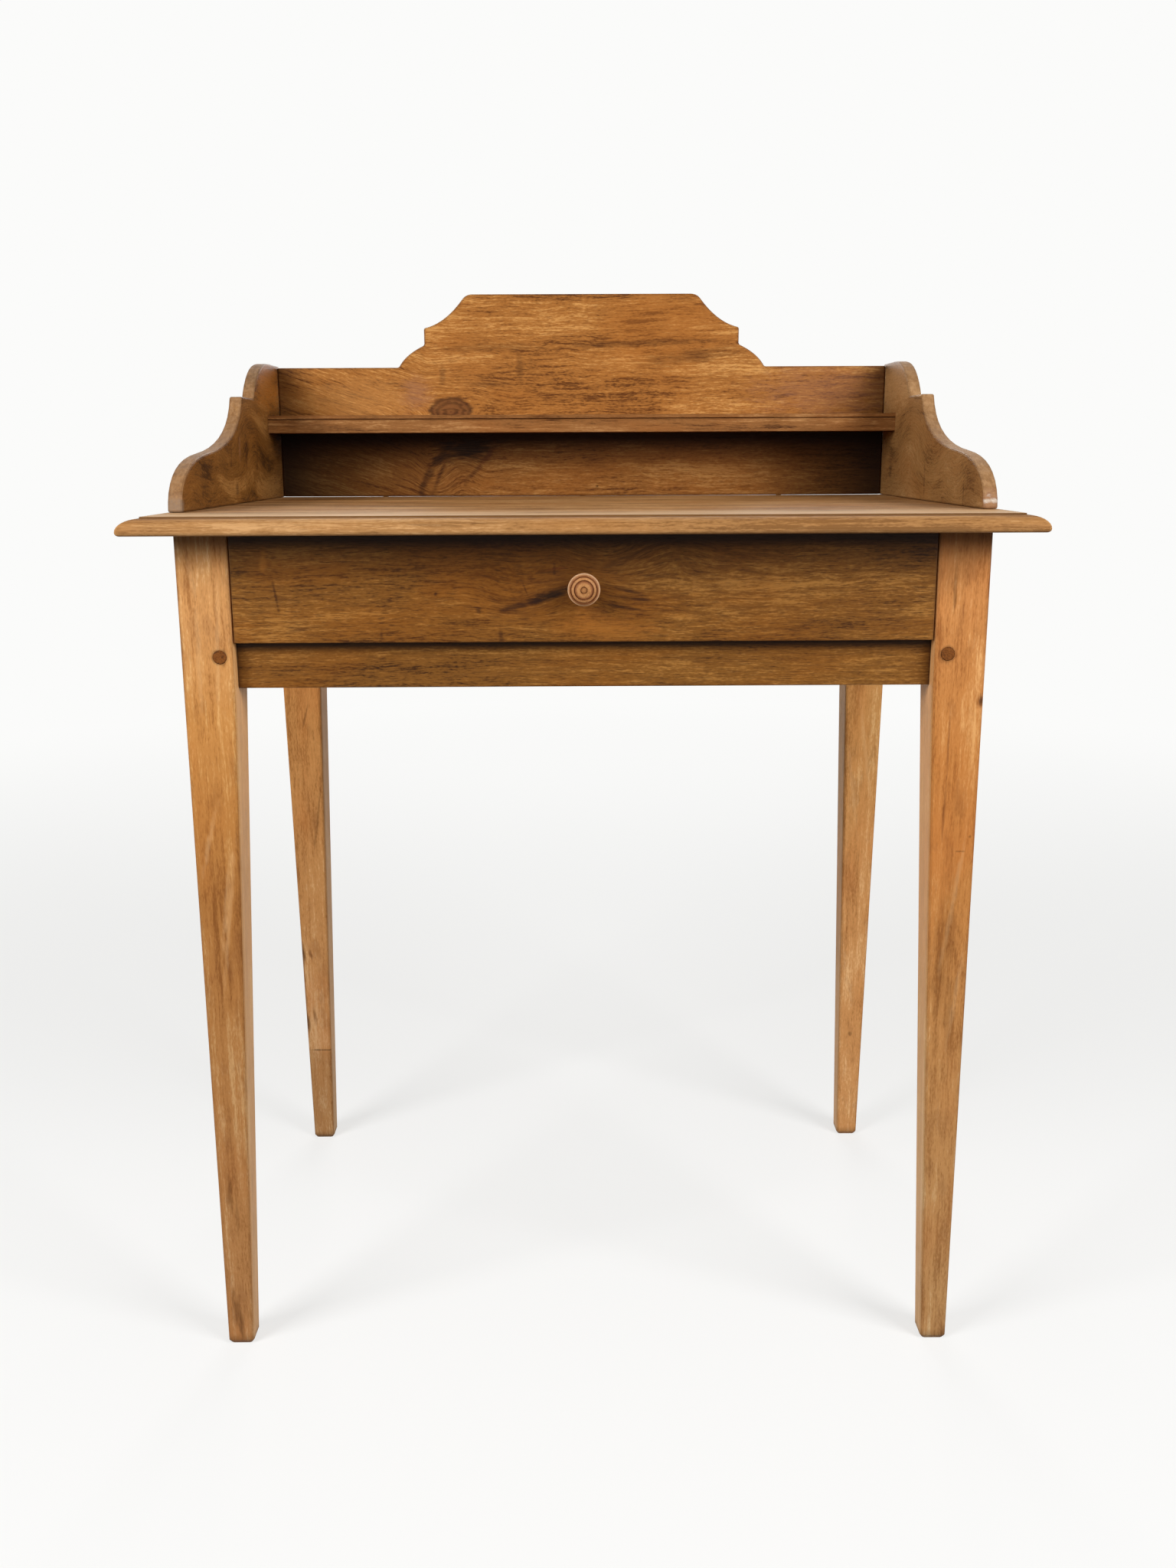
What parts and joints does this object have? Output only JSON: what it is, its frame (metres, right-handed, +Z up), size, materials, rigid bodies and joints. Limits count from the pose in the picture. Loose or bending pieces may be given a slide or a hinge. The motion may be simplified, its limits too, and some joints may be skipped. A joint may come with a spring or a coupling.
{
  "type": "dressing table",
  "caption": "Rustic wooden dressing table on square tapered legs, with a moulded top, a dovetailed full-width drawer and a shaped gallery that holds a narrow shelf.",
  "frame": {"origin": "on the floor, under the centre of the table's bounding box", "axes": "+X to the right of someone facing the drawer, +Y from the front to the back, +Z up"},
  "size_m": [0.726, 0.516, 0.9595],
  "materials": {
    "leg_wood": "waxed, orange-brown",
    "board_wood": "waxed, dark brown with coarse grain",
    "top_wood": "waxed, worn",
    "inner_wood": "bare, dry",
    "knob_wood": "waxed, turned",
    "peg_wood": "waxed, end grain"
  },
  "bodies": {
    "table": {"leg_front_left": "leg_wood", "leg_front_right": "leg_wood", "leg_back_left": "leg_wood", "leg_back_right": "leg_wood", "front_rail": "board_wood", "back_apron": "inner_wood", "side_apron_left": "board_wood", "side_apron_right": "board_wood", "rail_peg_left": "peg_wood", "rail_peg_right": "peg_wood", "side_peg_front_left_lower": "peg_wood", "side_peg_front_left_upper": "peg_wood", "side_peg_front_right_lower": "peg_wood", "side_peg_front_right_upper": "peg_wood", "side_peg_back_left_lower": "peg_wood", "side_peg_back_left_upper": "peg_wood", "side_peg_back_right_lower": "peg_wood", "side_peg_back_right_upper": "peg_wood", "back_peg_left_lower": "peg_wood", "back_peg_left_upper": "peg_wood", "back_peg_right_lower": "peg_wood", "back_peg_right_upper": "peg_wood", "drawer_runner_left": "inner_wood", "drawer_runner_right": "inner_wood", "drawer_guide_left": "inner_wood", "drawer_guide_right": "inner_wood", "drawer_kicker_left": "inner_wood", "drawer_kicker_right": "inner_wood", "drawer_stop_left": "inner_wood", "drawer_stop_right": "inner_wood", "glue_block_left": "inner_wood", "glue_block_right": "inner_wood", "table_top": "top_wood", "gallery_back": "board_wood", "gallery_side_left": "board_wood", "gallery_side_right": "board_wood", "gallery_shelf": "board_wood", "gallery_dowel_front_left": "inner_wood", "gallery_dowel_front_right": "inner_wood", "gallery_dowel_back_left": "inner_wood", "gallery_dowel_back_right": "inner_wood", "back_board_dowel_left": "inner_wood", "back_board_dowel_middle": "inner_wood", "back_board_dowel_right": "inner_wood"},
    "drawer": {"drawer_front": "board_wood", "drawer_side_left": "inner_wood", "drawer_side_right": "inner_wood", "drawer_back": "inner_wood", "drawer_bottom": "inner_wood", "drawer_knob": "knob_wood"}
  },
  "joints": [
    {"name": "drawer_slide", "type": "slide", "parent": "table", "child": "drawer", "axis": [0, -1, 0], "range_m": [0, 0.28]}
  ]
}
